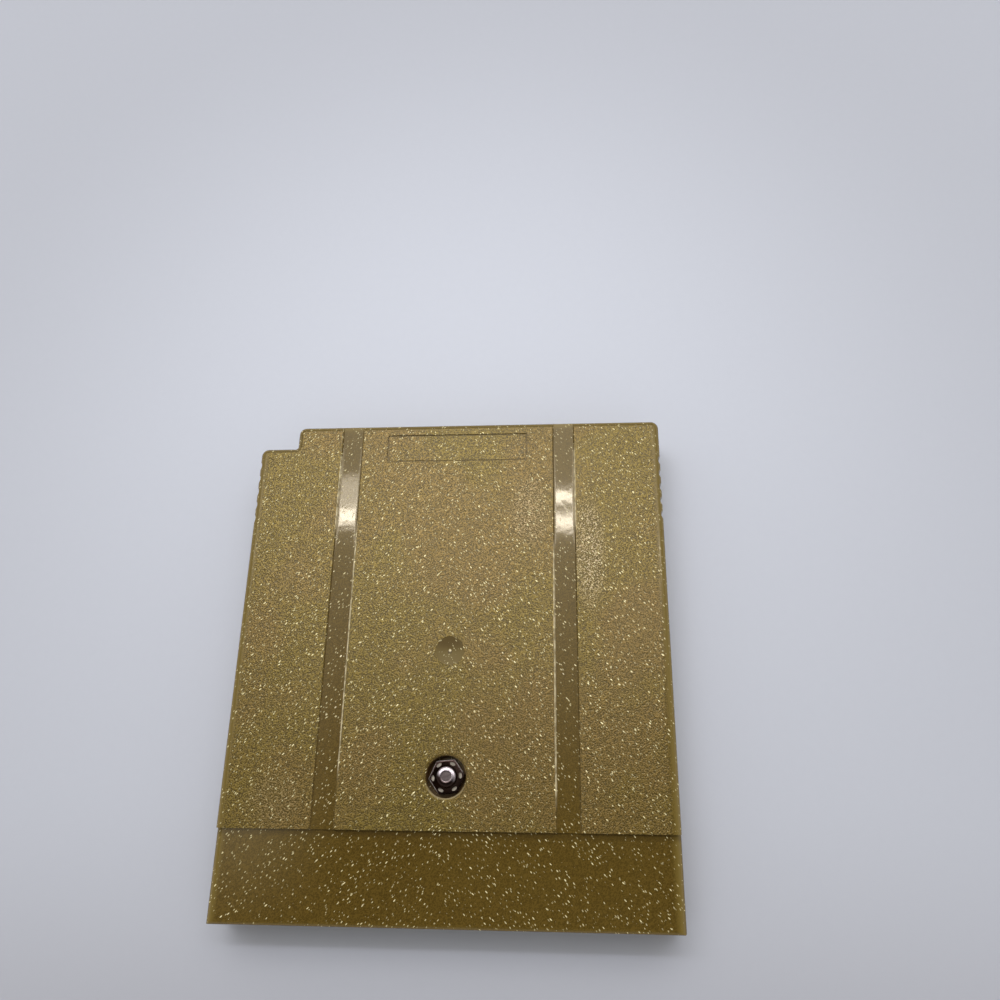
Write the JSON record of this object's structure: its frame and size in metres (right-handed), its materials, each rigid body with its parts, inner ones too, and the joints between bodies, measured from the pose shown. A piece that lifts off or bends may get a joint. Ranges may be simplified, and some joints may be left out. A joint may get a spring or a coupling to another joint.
{
  "type": "game cartridge",
  "caption": "Flat moulded game cartridge with a notched corner, grooved grip sides, long channels down its back, a sunk security screw and a board edge in its mouth.",
  "frame": {"origin": "under the middle of the cartridge, on the surface that its label face lies on", "axes": "+Z from the label face to the back face, +Y from the connector mouth to the closed end, +X across it, so the notch is at the -X, +Y corner"},
  "size_m": [0.057, 0.0652, 0.0078],
  "materials": {
    "shell_plastic": "satin moulded plastic with glitter in it",
    "screw_steel": "dark bright steel",
    "board_laminate": "green solder mask",
    "contact_gold": "gold plated",
    "package_resin": "matt black",
    "tinned_lead": "tin plated",
    "cell_steel": "brushed",
    "can_metal": "bright",
    "capacitor_ceramic": "matt tan",
    "resistor_ceramic": "matt black"
  },
  "bodies": {
    "root": {"rear_shell": "shell_plastic", "front_shell": "shell_plastic", "case_screw": "screw_steel", "circuit_board": "board_laminate", "edge_contacts": "contact_gold", "program_rom": "package_resin", "program_rom_leads": "tinned_lead", "memory_controller": "package_resin", "memory_controller_leads": "tinned_lead", "save_ram": "package_resin", "save_ram_leads": "tinned_lead", "battery_monitor": "package_resin", "battery_monitor_leads": "tinned_lead", "backup_battery": "cell_steel", "battery_tab_positive": "cell_steel", "battery_tab_negative": "cell_steel", "clock_crystal": "can_metal", "crystal_leads": "tinned_lead", "capacitor_1": "capacitor_ceramic", "capacitor_2": "capacitor_ceramic", "capacitor_3": "capacitor_ceramic", "capacitor_4": "capacitor_ceramic", "resistor_1": "resistor_ceramic", "resistor_2": "resistor_ceramic", "resistor_3": "resistor_ceramic"}
  },
  "joints": []
}
